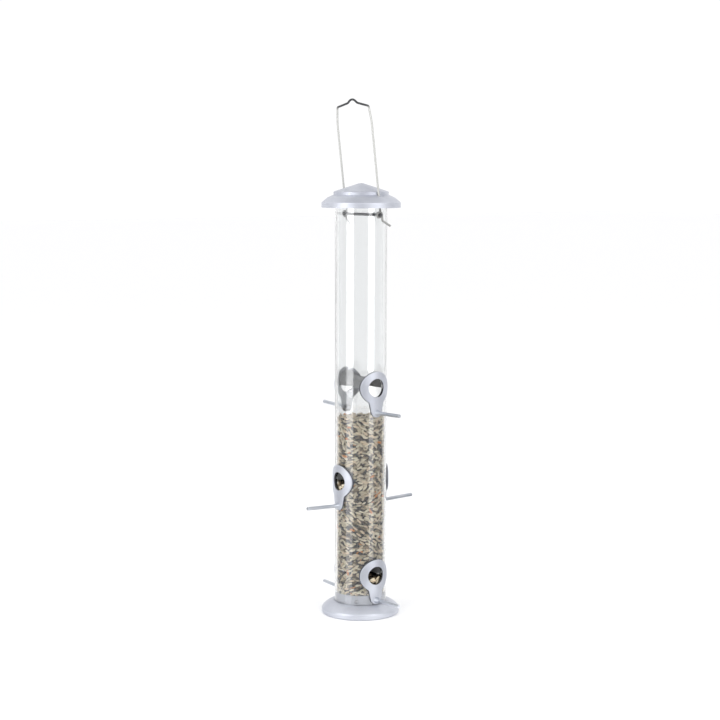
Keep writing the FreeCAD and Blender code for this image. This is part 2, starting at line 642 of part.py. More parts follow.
failed = [item.Name for item in doc.Objects if {"Invalid", "Error"} & set(item.State)]
if failed:
    raise RuntimeError(f"features that did not build: {failed}")
for node in nodes:
    if node.Shape.isNull() or not node.Shape.isValid():
        raise RuntimeError(f"{node.Label} has no sound shape")

os.makedirs("parts", exist_ok=True)
for node in nodes:
    node.Shape.exportStep(f"parts/{node.Label}.step")
    print(node.Label, len(node.Shape.Solids), round(node.Shape.Volume, 1))
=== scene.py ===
import enum
import logging
import math
from collections.abc import Sequence
from dataclasses import dataclass

import bpy
import numpy as np
from mathutils import Matrix, Vector


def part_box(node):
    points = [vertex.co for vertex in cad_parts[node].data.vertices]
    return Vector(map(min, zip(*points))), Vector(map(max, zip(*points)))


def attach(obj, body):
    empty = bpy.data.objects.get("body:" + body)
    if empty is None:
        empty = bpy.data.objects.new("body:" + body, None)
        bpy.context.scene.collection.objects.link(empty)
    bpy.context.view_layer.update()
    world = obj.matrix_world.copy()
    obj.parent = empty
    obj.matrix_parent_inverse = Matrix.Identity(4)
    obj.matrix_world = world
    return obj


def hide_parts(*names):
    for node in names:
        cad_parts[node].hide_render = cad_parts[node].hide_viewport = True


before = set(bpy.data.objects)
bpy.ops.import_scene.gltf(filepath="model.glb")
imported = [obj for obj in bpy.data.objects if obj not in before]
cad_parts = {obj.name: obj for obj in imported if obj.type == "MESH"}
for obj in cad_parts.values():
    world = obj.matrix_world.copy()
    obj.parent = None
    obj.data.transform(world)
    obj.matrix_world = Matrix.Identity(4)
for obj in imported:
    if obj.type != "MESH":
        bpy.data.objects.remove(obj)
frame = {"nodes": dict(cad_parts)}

logger = logging.getLogger("feeder")
# How far a port's top stands above its feed way's axis, and the outer radius of a hood's straight middle.
PORT_TOP = 0.019
HOOD_RADIUS = 0.0108


class Grain(enum.Enum):
    """How the fine detail of a finish runs."""

    SATIN = "satin"
    DRAWN = "drawn"
    MOULDED = "moulded"


@dataclass(frozen=True)
class Finish:
    """One real finish, as the settings that make it.

    Args:
        name: material name, the finish in plain words.
        dark: sRGB hex colour of its darker patches.
        light: sRGB hex colour of its lighter patches.
        metal: how metallic it is, 0 to 1.
        rough_low: roughness where it is smoothest.
        rough_high: roughness where it is dullest.
        grain: how its detail runs.
        grain_scale: detail features per metre.
        relief: depth of the surface relief in metres.
    """

    name: str
    dark: str
    light: str
    metal: float
    rough_low: float
    rough_high: float
    grain: Grain
    grain_scale: float
    relief: float


# Satin-painted pressing: fine metallic flake softens the softbox bands into broad pale ridges.
# The flakes, really about 0.05 mm across, are drawn coarser, at about 0.4 mm.
SATIN_PRESSING = Finish("satin_silver_pressing", "#b5b8c2", "#c5c8d0", 0.48, 0.38, 0.46,
                        Grain.SATIN, 2600.0, 0.000004)
# Die-cast ports: paler and flatter than the pressings, with a faint flow pattern.
# Its grain, really about 0.2 mm, is drawn coarser, at about 0.8 mm.
PORT_CASTING = Finish("pale_satin_casting", "#afb2bb", "#c4c7cf", 0.48, 0.38, 0.48,
                      Grain.MOULDED, 1300.0, 0.000008)
# Turned rod: a cooler grey with a crisp highlight along its top.
# The turning marks, really about 0.1 mm apart, are drawn coarser, at about 0.45 mm.
PERCH_ROD = Finish("turned_aluminium_rod", "#b9bec6", "#d0d4da", 0.80, 0.26, 0.36,
                   Grain.SATIN, 2200.0, 0.000003)
# Zinc-coated wire: a dull pale grey on the legs, with a painted dark reflection across the top and painted
# shade on the knots under the lid.
# Its drawing lines, really about 0.1 mm apart, are drawn coarser, at about 1.1 mm.
ZINC_WIRE = Finish("zinc_coated_wire", "#3a3b3d", "#b6b6b3", 0.20, 0.50, 0.60,
                   Grain.DRAWN, 900.0, 0.0000002)
# Painted shade on the wire's knots under the lid.
WIRE_LID_SHADE = "#8e8e8c"
# Where the wire's tone changes, as shares of the height from the lid's lower edge to the wire's top: painted
# shade under the lid, pale legs, and a painted dark reflection across the top.
WIRE_STOPS = (0.01, 0.06, 0.905, 0.930)
# Blackened pin: a dull dark bar with a soft grey line along it.
# Its lines, really about 0.1 mm apart, are drawn coarser, at about 1.1 mm.
BLACK_PIN = Finish("blackened_steel_pin", "#4c4d4f", "#5e5f61", 0.55, 0.36, 0.46,
                   Grain.DRAWN, 900.0, 0.000001)
# Plated screws and nuts: small, bright and slightly uneven, in patches drawn about 0.6 mm across.
PLATED_STEEL = Finish("plated_steel", "#8b8c92", "#b0b1b6", 0.95, 0.25, 0.40,
                      Grain.MOULDED, 1800.0, 0.000006)
# Grey hoods: pale in the empty tube, and near black where the seed shuts out the light.
# The mould's texture, really about 0.2 mm, is drawn coarser, at about 0.8 mm.
HOOD_PLASTIC = Finish("grey_moulded_plastic", "#78797a", "#8b8c8c", 0.0, 0.75, 0.90,
                      Grain.MOULDED, 1200.0, 0.00003)
# Painted shadow along the port's edge next to the tube, which shows as a thin dark outline.
PORT_EDGE_SHADOW = "#4b4c52"
# How much painted shadow the port's edge takes, from the tube's face to the outer face.
EDGE_SHADE = ((0.02, "#000000"), (0.06, "#ffffff"), (0.55, "#ffffff"), (0.70, "#000000"))
# Broad wear, its patches about 33 mm across, and the part of its range that carries the colour change.
WEAR_SCALE = 30.0
WEAR_DETAIL = 4.0
WEAR_RANGE = (0.35, 0.65)
# Drawn wire has long lines: the pattern is squeezed along it by this much.
DRAWN_STRETCH = 0.03
# Octaves of fine detail: few for a smooth satin, more for the others.
SATIN_DETAIL = 2.0
OTHER_DETAIL = 5.0
# Strength of every finish's relief, and the low shine of the hoods.
RELIEF_STRENGTH = 0.5
HOOD_SPECULAR = 0.2


def linear(hex_colour: str) -> tuple[float, float, float, float]:
    """Turn an sRGB hex colour into the linear colour a shader needs.

    Args:
        hex_colour: colour such as "#a0b0c0".

    Returns:
        Linear red, green and blue, and an alpha of one.
    """
    parts = [int(hex_colour[index:index + 2], 16) / 255 for index in (1, 3, 5)]
    red, green, blue = (part / 12.92 if part <= 0.04045 else ((part + 0.055) / 1.055) ** 2.4
                        for part in parts)
    return red, green, blue, 1.0


class Shader:
    """A node material under construction.

    Args:
        name: name of the material.
    """

    def __init__(self, name: str) -> None:
        """Start a material whose surface node is ready to be fed.

        Args:
            name: name of the material.
        """
        self.material = bpy.data.materials.new(name)
        self.material.use_nodes = True
        self.tree = self.material.node_tree
        self.surface = self.tree.nodes["Principled BSDF"]

    def add(self, kind: str, settings: dict | None = None, inputs: dict | None = None) -> bpy.types.Node:
        """Add a node with its settings, values and links.

        Args:
            kind: Blender's node type name.
            settings: attributes of the node.
            inputs: input name or index to a value, or to the socket that feeds it.

        Returns:
            The new node.
        """
        node = self.tree.nodes.new(kind)
        for key, value in (settings or {}).items():
            setattr(node, key, value)
        for key, value in (inputs or {}).items():
            self.feed(node, key, value)
        return node

    def feed(self, node: bpy.types.Node, key: str | int, value: object) -> None:
        """Set one input, or link a socket to it.

        Args:
            node: node that owns the input.
            key: name or index of the input.
            value: plain value or an output socket.
        """
        if isinstance(value, bpy.types.NodeSocket):
            self.tree.links.new(value, node.inputs[key])
        else:
            node.inputs[key].default_value = value

    def ramp(self, factor: bpy.types.NodeSocket,
             stops: Sequence[tuple[float, str]]) -> bpy.types.NodeSocket:
        """Add a colour ramp.

        Args:
            factor: socket that drives the ramp.
            stops: position and sRGB hex colour of each stop.

        Returns:
            The ramp's colour output.
        """
        node = self.add("ShaderNodeValToRGB", inputs={"Fac": factor})
        elements = node.color_ramp.elements
        while len(elements) < len(stops):
            elements.new(0.5)
        for element, (place, colour) in zip(elements, stops):
            element.position = place
            element.color = linear(colour)
        return node.outputs["Color"]

    def spread(self, factor: bpy.types.NodeSocket, low: float, high: float) -> bpy.types.NodeSocket:
        """Map a zero-to-one signal to a range.

        Args:
            factor: incoming signal.
            low: value at zero.
            high: value at one.

        Returns:
            The mapped socket.
        """
        node = self.add("ShaderNodeMapRange", inputs={"Value": factor, "To Min": low, "To Max": high})
        return node.outputs["Result"]


def finish_material(finish: Finish) -> bpy.types.Material:
    """Build the material of an opaque finish.

    Args:
        finish: the finish to make.

    Returns:
        The finished material.
    """
    shader = Shader(finish.name)
    place = shader.add("ShaderNodeTexCoord").outputs["Object"]
    stretch = (1.0, 1.0, DRAWN_STRETCH) if finish.grain is Grain.DRAWN else (1.0, 1.0, 1.0)
    scaled = shader.add("ShaderNodeMapping", inputs={"Vector": place, "Scale": stretch}).outputs[0]
    octaves = SATIN_DETAIL if finish.grain is Grain.SATIN else OTHER_DETAIL
    detail = shader.add("ShaderNodeTexNoise", inputs={
        "Vector": scaled, "Scale": finish.grain_scale, "Detail": octaves}).outputs["Fac"]
    wear = shader.add("ShaderNodeTexNoise", inputs={
        "Vector": place, "Scale": WEAR_SCALE, "Detail": WEAR_DETAIL}).outputs["Fac"]
    colour = shader.ramp(wear, list(zip(WEAR_RANGE, (finish.dark, finish.light))))
    # Ports get a painted shadow along their edge.
    if finish is PORT_CASTING:
        colour = painted_edge_shadow(shader, place, colour)
    # The wire gets painted shade under the lid and a painted dark reflection across its top.
    elif finish is ZINC_WIRE:
        colour = painted_shade_and_reflection(shader, place, finish)
    elif finish is HOOD_PLASTIC:
        shader.feed(shader.surface, "Specular IOR Level", HOOD_SPECULAR)
    shader.feed(shader.surface, "Base Color", colour)
    shader.feed(shader.surface, "Metallic", finish.metal)
    shader.feed(shader.surface, "Roughness", shader.spread(detail, finish.rough_low, finish.rough_high))
    bump = shader.add("ShaderNodeBump", inputs={
        "Strength": RELIEF_STRENGTH, "Distance": finish.relief, "Height": detail})
    shader.feed(shader.surface, "Normal", bump.outputs["Normal"])
    return shader.material


def painted_edge_shadow(shader: Shader, place: bpy.types.NodeSocket,
                  colour: bpy.types.NodeSocket) -> bpy.types.NodeSocket:
    """Paint shadow on a port's edge, between the face that meets the tube and the rounded outer face.

    The distance from the tube's axis is the length of the place with its height left out.

    Args:
        shader: the material under construction.
        place: object coordinates.
        colour: colour of the faces.

    Returns:
        The mixed colour.
    """
    level = shader.add("ShaderNodeVectorMath", {"operation": "MULTIPLY"}, {0: place, 1: (1.0, 1.0, 0.0)})
    reach = shader.add("ShaderNodeVectorMath", {"operation": "LENGTH"}, {0: level.outputs[0]})
    inner = float(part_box("tube")[1][0])
    outer = -float(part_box("port_middle_b")[0][1])
    depth = shader.add("ShaderNodeMapRange", inputs={
        "Value": reach.outputs["Value"], "From Min": inner, "From Max": outer})
    shade = shader.ramp(depth.outputs["Result"], EDGE_SHADE)
    # Painted shadow: the port's colour is mixed towards the dark edge colour.
    mixed = shader.add("ShaderNodeMix", {"data_type": "RGBA"}, {0: shade, 6: colour, 7: linear(PORT_EDGE_SHADOW)})
    return mixed.outputs[2]


def painted_shade_and_reflection(shader: Shader, place: bpy.types.NodeSocket, finish: Finish) -> bpy.types.NodeSocket:
    """Paint shade on the wire under the lid and a dark reflection across its top, and leave the legs between
    them pale.

    Args:
        shader: the material under construction.
        place: object coordinates.
        finish: the wire's finish.

    Returns:
        The colour by height.
    """
    height = shader.add("ShaderNodeSeparateXYZ", inputs={0: place}).outputs["Z"]
    legs_from, top = float(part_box("lid")[0][2]), float(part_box("bail")[1][2])
    share = shader.add("ShaderNodeMapRange", inputs={
        "Value": height, "From Min": legs_from, "From Max": top}).outputs["Result"]
    # Painted shade under the lid, pale legs, and a painted dark reflection across the top.
    tones = (WIRE_LID_SHADE, finish.light, finish.light, finish.dark)
    return shader.ramp(share, list(zip(WIRE_STOPS, tones)))


@dataclass(frozen=True)
class ClearPlastic:
    """Extruded clear plastic: faint lines along it wobble its long reflections, which a gloss coat brightens.

    Args:
        name: material name.
        tint: sRGB hex colour it gives to light that passes through.
        ior: refraction of the plastic.
        coat_ior: refraction of the gloss coat.
        coat_rough: roughness of that coat.
        line_scale: lines per metre round the tube, really about 1 mm apart and drawn coarser, at 5 mm.
        line_stretch: how much the pattern is squeezed along the tube, which makes the lines long.
        line_strength: how strongly they bend a reflection.
        line_depth: their depth in metres.
        haze_scale: patches of faint haze per metre, about 42 mm across.
        haze_detail: how fine the haze is.
        haze_rough: roughness where the haze is thickest.
    """

    name: str = "clear_extruded_plastic"
    tint: str = "#f7f8f8"
    ior: float = 1.49
    coat_ior: float = 1.6
    coat_rough: float = 0.01
    line_scale: float = 190.0
    line_stretch: float = 0.02
    line_strength: float = 0.3
    line_depth: float = 0.00003
    haze_scale: float = 24.0
    haze_detail: float = 5.0
    haze_rough: float = 0.03

    def material(self) -> bpy.types.Material:
        """Build it.

        Returns:
            The finished material.
        """
        shader = Shader(self.name)
        place = shader.add("ShaderNodeTexCoord").outputs["Object"]
        long_way = shader.add("ShaderNodeMapping", inputs={
            "Vector": place, "Scale": (1.0, 1.0, self.line_stretch)})
        lines = shader.add("ShaderNodeTexNoise", inputs={
            "Vector": long_way.outputs[0], "Scale": self.line_scale})
        bump = shader.add("ShaderNodeBump", inputs={
            "Strength": self.line_strength, "Distance": self.line_depth, "Height": lines.outputs["Fac"]})
        haze = shader.add("ShaderNodeTexNoise", inputs={
            "Vector": place, "Scale": self.haze_scale, "Detail": self.haze_detail})
        shader.feed(shader.surface, "Roughness", shader.spread(haze.outputs["Fac"], 0.0, self.haze_rough))
        shader.feed(shader.surface, "Base Color", linear(self.tint))
        shader.feed(shader.surface, "Transmission Weight", 1.0)
        shader.feed(shader.surface, "IOR", self.ior)
        shader.feed(shader.surface, "Coat Weight", 1.0)
        shader.feed(shader.surface, "Coat IOR", self.coat_ior)
        shader.feed(shader.surface, "Coat Roughness", self.coat_rough)
        shader.feed(shader.surface, "Normal", bump.outputs["Normal"])
        return shader.material


@dataclass(frozen=True)
class SeedHusk:
    """Striped seed husk: each seed has its own tone, under dark stripes from end to end.

    Args:
        name: material name.
        tones: sRGB hex colour for each tone, from the darkest, which gives the deepest seeds their painted
            shade and the dark seeds their colour, to the orange pieces.
        stripe: sRGB hex colour of the stripes.
        stripe_turn: radians of stripe for one turn round a seed, about seven stripes.
        stripe_share: how much of the stripe colour shows at its darkest.
        fibre_scale: fibres per metre, really about 0.2 mm apart and drawn coarser, at 0.7 mm.
        fibre_detail: how fine the fibres are.
        rough: lowest and highest roughness.
        relief_strength: how strongly the fibres shade.
        relief: their depth in metres.
    """

    name: str = "striped_seed_husk"
    tones: tuple = ((0.0, "#15100c"), (0.16, "#382b20"), (0.34, "#8a785c"), (0.55, "#d0c1a3"),
                    (0.80, "#f7ecd2"), (0.93, "#d8b081"), (1.0, "#de8d3a"))
    stripe: str = "#2a2520"
    stripe_turn: float = 44.0
    stripe_share: float = 0.26
    fibre_scale: float = 1400.0
    fibre_detail: float = 3.0
    rough: tuple = (0.42, 0.72)
    relief_strength: float = 0.5
    relief: float = 0.00008

    def material(self) -> bpy.types.Material:
        """Build it.

        Returns:
            The finished material.
        """
        shader = Shader(self.name)
        tone = shader.add("ShaderNodeAttribute", {"attribute_name": "tone"}).outputs["Fac"]
        around = shader.add("ShaderNodeAttribute", {"attribute_name": "around"}).outputs["Fac"]
        husk = shader.ramp(tone, self.tones)
        turned = shader.add("ShaderNodeMath", {"operation": "MULTIPLY"}, {0: around, 1: self.stripe_turn})
        wave = shader.add("ShaderNodeMath", {"operation": "SINE"}, {0: turned.outputs[0]})
        stripe = shader.spread(wave.outputs[0], 0.0, self.stripe_share)
        mixed = shader.add("ShaderNodeMix", {"data_type": "RGBA"},
                           {0: stripe, 6: husk, 7: linear(self.stripe)})
        shader.feed(shader.surface, "Base Color", mixed.outputs[2])
        place = shader.add("ShaderNodeTexCoord").outputs["Object"]
        fibre = shader.add("ShaderNodeTexNoise", inputs={
            "Vector": place, "Scale": self.fibre_scale, "Detail": self.fibre_detail})
        shader.feed(shader.surface, "Roughness", shader.spread(fibre.outputs["Fac"], *self.rough))
        bump = shader.add("ShaderNodeBump", inputs={
            "Strength": self.relief_strength, "Distance": self.relief, "Height": fibre.outputs["Fac"]})
        shader.feed(shader.surface, "Normal", bump.outputs["Normal"])
        return shader.material


def plain_material(name: str, colour: str, roughness: float) -> bpy.types.Material:
    """Build a quiet material of one even tone, for what lies behind or under the feeder.

    Args:
        name: name of the material.
        colour: sRGB hex colour.
        roughness: roughness all over.

    Returns:
        The finished material.
    """
    shader = Shader(name)
    shader.feed(shader.surface, "Base Color", linear(colour))
    shader.feed(shader.surface, "Roughness", roughness)
    return shader.material


@dataclass
class MetalAndPlastic:
    """The pieces whose CAD shape stays and only their finish is made here.

    Args:
        nodes: CAD node name to its object.
        rules: beginnings of node names and the finish they take, the first match counting.
    """

    nodes: dict
    rules: tuple = (
        (("perch_nut", "base_screw"), PLATED_STEEL), (("lid", "base"), SATIN_PRESSING),
        (("port_",), PORT_CASTING), (("bail",), ZINC_WIRE), (("crossbar",), BLACK_PIN),
        (("seed_hood",), HOOD_PLASTIC), (("perch_",), PERCH_ROD))

    def finish_for(self, name: str) -> Finish | None:
        """Find a node's finish.

        Args:
            name: CAD node name.

        Returns:
            Its finish, or None for the tube and the seed.
        """
        return next((finish for starts, finish in self.rules if name.startswith(starts)), None)

    def dress(self) -> None:
        """Give every kept node its material."""
        made: dict[str, bpy.types.Material] = {}
        for name, node in self.nodes.items():
            finish = self.finish_for(name)
            if name == "tube":
                node.material_slots[0].material = ClearPlastic().material()
            elif finish is not None:
                if finish.name not in made:
                    made[finish.name] = finish_material(finish)
                node.material_slots[0].material = made[finish.name]


@dataclass
class SeedFilling:
    """The loose seed seen through the tube, as real seeds, darker with depth as painted shade, round a dark
    core that is painted shade.

    Args:
        low: height of the floor it lies on.
        high: height of its top.
        wall: inside radius of the tube.
        ways: height of each covered hood, and whether it runs along Y.
        hood: outer radius of a hood's straight middle.
        number: where the random numbers start.
        length: middling length of a seed.
        rings: rings of faces from end to end of a seed.
        sides: faces round a seed.
        bands: pieces that the seeds are shared among, by height.
        layers: depth inside the wall, row height and spacing round the tube of each layer.
        clear: room kept between a seed's middle and a hood.
        settled: how far under a feed way's axis the seed lies.
        mound: how much lower the far side of the top is than the near side.
        core_share: radius of the core as a share of the wall's.
        fullness: power of the sine in a seed's outline; less is fuller.
        taper: share of the full width towards a seed's pointed end.
        swell: share that it gains by the blunt end.
        tip: radius of a seed's ends as a share of its widest.
        sizes: smallest and largest length as shares of the middling one.
        widths: narrowest and widest seed as shares of its length.
        thickness: thickness as a share of length.
        round_jitter: how far a seed strays round the wall, in spacings.
        level_jitter: how far it strays up or down, in rows.
        sunk: how far seeds at the wall lie in from it, as a spread in metres.
        top_gap: room kept between seeds at the wall and the top.
        top_edge: how far the top's highest edge lies under the filling's.
        top_turn: which way the top tilts, in radians.
        straight: half length of a hood's straight middle.
        flare: twice the radius that its ends open out with.
        top_count: seeds scattered over the top.
        top_inset: room between them and the wall.
        top_sunk: least and most that they lie under the top.
        way_count: seeds on each feed way's floor.
        way_inset: room between their row's ends and the wall.
        way_spare: how much wider than the hood they are strewn.
        way_level: how far under the floor's level they lie.
        way_jitter: how far they stray from it.
        way_wall: least room between their middles and the wall.
        drift: how far the seeds' lean drifts with height, in radians.
        drift_rise: radians of the drift's wave per metre of height.
        drift_round: how much the drift differs round the tube.
        lean_spread: spread of the lean, in radians.
        roll_spread: spread of each seed's turn about its length.
        lit_depth: seeds this near the top take less painted shade, as pale as those near the wall.
        lit_share: their depth for the painted shade, as a share of the deepest layer's.
        least_share: least depth share, which seeds at the wall take, and so the least painted shade.
        palest: tone that a seed would have at no depth, with no painted shade.
        depth_shade: painted shade, how much darker the deepest are.
        tone_spread: spread of the tones.
        tone_range: darkest and palest tone of an ordinary seed.
        dark_share: share of seeds that are dark.
        dark_range: their tones.
        orange_share: share of orange pieces.
        wall_gap: room between the husks and the tube.
        end_gap: room between the husks and the filling's top and bottom.
        least_reach: smallest distance from the axis that a share is worked out for.
        core_sides: faces round the core.
        core_low: how far the core starts above the floor.
        core_under: how far it stops under a feed way's floor.
        core_over: how far it starts above a hood.
        core_top: how far it stops under the top.
    """

    low: float
    high: float
    wall: float
    ways: list[tuple[float, bool]]
    hood: float
    number: int = 11
    length: float = 0.0069
    rings: int = 5
    sides: int = 7
    bands: int = 8
    layers: tuple = ((0.0012, 0.0028, 0.0068), (0.0026, 0.0027, 0.0068), (0.0041, 0.0030, 0.0074))
    clear: float = 0.0034
    settled: float = 0.0046
    mound: float = 0.0012
    core_share: float = 0.80
    fullness: float = 0.8
    taper: float = 0.72
    swell: float = 0.28
    tip: float = 0.06
    sizes: tuple = (0.82, 1.14)
    widths: tuple = (0.34, 0.44)
    thickness: float = 0.26
    round_jitter: float = 0.38
    level_jitter: float = 0.45
    sunk: float = 0.0004
    top_gap: float = 0.001
    top_edge: float = 0.0003
    top_turn: float = 0.6
    straight: float = 0.007
    flare: float = 0.1
    top_count: int = 330
    top_inset: float = 0.0035
    top_sunk: tuple = (0.0012, 0.0035)
    way_count: int = 150
    way_inset: float = 0.003
    way_spare: float = 0.001
    way_level: float = 0.0010
    way_jitter: float = 0.0012
    way_wall: float = 0.002
    drift: float = 0.45
    drift_rise: float = 55.0
    drift_round: float = 1.3
    lean_spread: float = 0.52
    roll_spread: float = 0.30
    lit_depth: float = 0.005
    lit_share: float = 0.35
    least_share: float = 0.25
    palest: float = 1.06
    depth_shade: float = 0.95
    tone_spread: float = 0.16
    tone_range: tuple = (0.05, 0.86)
    dark_share: float = 0.15
    dark_range: tuple = (0.0, 0.34)
    orange_share: float = 0.022
    wall_gap: float = 0.00015
    end_gap: float = 0.0001
    least_reach: float = 1e-6
    core_sides: int = 48
    core_low: float = 0.001
    core_under: float = 0.002
    core_over: float = 0.003
    core_top: float = 0.005

    def husk(self) -> tuple[np.ndarray, list[list[int]], np.ndarray]:
        """One seed along X, one unit long, wide and thick, closed at both ends.

        Each ring's radius is the sine of its angle from one end, less at the first end than the last,
        so the seed has a blunt and a pointed end.

        Returns:
            Points, faces, and each point's share of the way round.
        """
        angle = np.linspace(0.0, math.pi, self.rings + 1)
        turn = np.arange(self.sides) * 2 * math.pi / self.sides
        radius = np.sin(angle) ** self.fullness * (self.taper + self.swell * angle / math.pi)
        radius = 0.5 * np.maximum(radius / radius.max(), self.tip)
        points = np.stack([np.repeat(-0.5 * np.cos(angle), self.sides),
                           (radius[:, None] * np.cos(turn)).ravel(),
                           (radius[:, None] * np.sin(turn)).ravel()], axis=1)
        ring, side = np.meshgrid(np.arange(self.rings), np.arange(self.sides), indexing="ij")
        first = (ring * self.sides + side).ravel()
        second = (ring * self.sides + (side + 1) % self.sides).ravel()
        quads = np.stack([first, second, second + self.sides, first + self.sides], axis=1).tolist()
        around = np.arange(self.sides)
        ends = [around[::-1].tolist(), (around + self.rings * self.sides).tolist()]
        return points, quads + ends, np.tile(turn / (2 * math.pi), self.rings + 1)

    def surface(self, turn: np.ndarray) -> np.ndarray:
        """Height of the seed's top: highest towards the front, falling as the cosine of the turn.

        Args:
            turn: direction from the axis, in radians.

        Returns:
            Height of the top in that direction.
        """
        return self.high - self.top_edge - self.mound * (0.5 - 0.5 * np.cos(turn + self.top_turn))

    def wall_layer(self, rng: np.random.Generator, depth: float, row: float, column: float) -> np.ndarray:
        """Lay seeds like loose brickwork just inside the wall.

        Args:
            rng: random numbers.
            depth: how far inside the wall their middles lie.
            row: height of a row.
            column: spacing along a row.

        Returns:
            Middles.
        """
        radius = self.wall - depth
        rows = int((self.high - self.low) / row)
        columns = int(2 * math.pi * radius / column)
        course, place = (grid.ravel() for grid in np.meshgrid(np.arange(rows), np.arange(columns)))
        aside = rng.uniform(-self.round_jitter, self.round_jitter, place.size)
        turn = (place + course % 2 / 2 + aside) * 2 * math.pi / columns
        rise = rng.uniform(-self.level_jitter, self.level_jitter, place.size)
        level = self.low + (course + 0.5 + rise) * row
        reach = radius - np.abs(rng.normal(0.0, self.sunk, place.size))
        middle = np.stack([reach * np.cos(turn), reach * np.sin(turn), level], axis=1)
        return middle[self.free(middle) & (level < self.surface(turn) - self.top_gap)]

    def free(self, middle: np.ndarray) -> np.ndarray:
        """Find which seeds stay out of the hoods and the ways under them.

        The room needed is the hood's radius plus a flare that grows as the square of the distance
        beyond its straight middle.

        Args:
            middle: middles.

        Returns:
            True for each seed that may stay.
        """
        keep = np.ones(middle.shape[0], dtype=bool)
        for height, along_y in self.ways:
            across, along = middle[:, 0 if along_y else 1], np.abs(middle[:, 1 if along_y else 0])
            room = self.hood + self.clear + np.maximum(along - self.straight, 0) ** 2 / self.flare
            rise = middle[:, 2] - height
            keep &= ~((np.hypot(across, rise) < room) & (rise > -self.settled))
        return keep

    def loose(self, rng: np.random.Generator) -> np.ndarray:
        """Scatter the seeds that lie flat: on the top, and on the floor of each feed way.

        The top is a spiral that turns by the golden angle, so its seeds are evenly spread.

        Args:
            rng: random numbers.

        Returns:
            Middles.
        """
        order = np.arange(self.top_count)
        turn = order * math.pi * (3 - math.sqrt(5))
        radius = (self.wall - self.top_inset) * np.sqrt((order + 0.5) / self.top_count)
        level = self.surface(turn) - rng.uniform(*self.top_sunk, self.top_count)
        chosen = [np.stack([radius * np.cos(turn), radius * np.sin(turn), level], axis=1)]
        for height, along_y in self.ways:
            along = np.linspace(-1, 1, self.way_count) * (self.wall - self.way_inset)
            across = rng.uniform(-1, 1, along.size) * (self.hood + self.way_spare)
            stray = rng.uniform(-self.way_jitter, self.way_jitter, along.size)
            level = height - self.settled - self.way_level + stray
            pair = (across, along) if along_y else (along, across)
            inside = np.hypot(*pair) < self.wall - self.way_wall
            chosen.append(np.stack([*pair, level], axis=1)[inside])
        return np.concatenate(chosen)

    def places(self) -> tuple[np.ndarray, np.ndarray]:
        """Choose the middle and the heading of each seed.

        Seeds at the wall lie against it, leaning by a drift that follows the height. Loose ones lie flat.

        Returns:
            Middles, and three unit axes for each seed: along it, across it and out of its flat side.
        """
        rng = np.random.default_rng(self.number)
        walls = np.concatenate([self.wall_layer(rng, *layer) for layer in self.layers])
        flats = self.loose(rng)
        middle = np.concatenate([walls, flats])
        turn = np.arctan2(walls[:, 1], walls[:, 0])
        outward = np.stack([np.cos(turn), np.sin(turn), np.zeros(turn.size)], axis=1)
        sideways = np.stack([-np.sin(turn), np.cos(turn), np.zeros(turn.size)], axis=1)
        upward = np.broadcast_to([0.0, 0.0, 1.0], flats.shape)
        level_way = np.broadcast_to([1.0, 0.0, 0.0], flats.shape)
        normal = np.concatenate([outward, upward])
        tangent = np.concatenate([sideways, level_way])
        drift = self.drift * np.sin(walls[:, 2] * self.drift_rise + self.drift_round * np.sin(turn * 2))
        lean = np.concatenate([drift + rng.normal(0.0, self.lean_spread, turn.size),
                               rng.uniform(0, math.pi, flats.shape[0])])[:, None]
        roll = rng.normal(0.0, self.roll_spread, middle.shape[0])[:, None]
        other = np.cross(normal, tangent)
        along = tangent * np.cos(lean) + other * np.sin(lean)
        across = np.cross(normal, along)
        flat = normal * np.cos(roll) + across * np.sin(roll)
        return middle, np.stack([along, np.cross(flat, along), flat], axis=1)

    def build(self, husk_finish: bpy.types.Material, core_finish: bpy.types.Material) -> list:
        """Make the seed pieces.

        Args:
            husk_finish: material of the seeds.
            core_finish: material of the core behind them.

        Returns:
            The new objects.
        """
        middle, axes = self.places()
        rng = np.random.default_rng(self.number + 1)
        count = middle.shape[0]
        size = self.length * rng.uniform(*self.sizes, count)
        shape = np.stack([size, size * rng.uniform(*self.widths, count), size * self.thickness], axis=1)
        # Painted shade: a seed's tone is darker the deeper it lies inside the wall, and seeds near the top
        # take a fixed lighter shade.
        inward = self.wall - np.hypot(middle[:, 0], middle[:, 1])
        depth = np.clip(inward / self.layers[-1][0], self.least_share, 1.0)
        depth = np.where(middle[:, 2] > self.high - self.lit_depth, self.lit_share, depth)
        tone = self.palest - self.depth_shade * depth + rng.normal(0.0, self.tone_spread, count)
        tone = np.clip(tone, *self.tone_range)
        tone = np.where(rng.random(count) < self.dark_share, rng.uniform(*self.dark_range, count), tone)
        tone = np.where(rng.random(count) < self.orange_share, 1.0, tone)
        edges = np.linspace(self.low, self.high, self.bands + 1)
        band = np.clip(np.digitize(middle[:, 2], edges) - 1, 0, self.bands - 1)
        made = [self.cloud(f"seeds_band_{index}", middle[band == index], axes[band == index],
                           shape[band == index], tone[band == index], husk_finish)
                for index in range(self.bands)]
        made.append(self.core(core_finish))
        for piece in made:
            bpy.context.scene.collection.objects.link(piece)
        return made

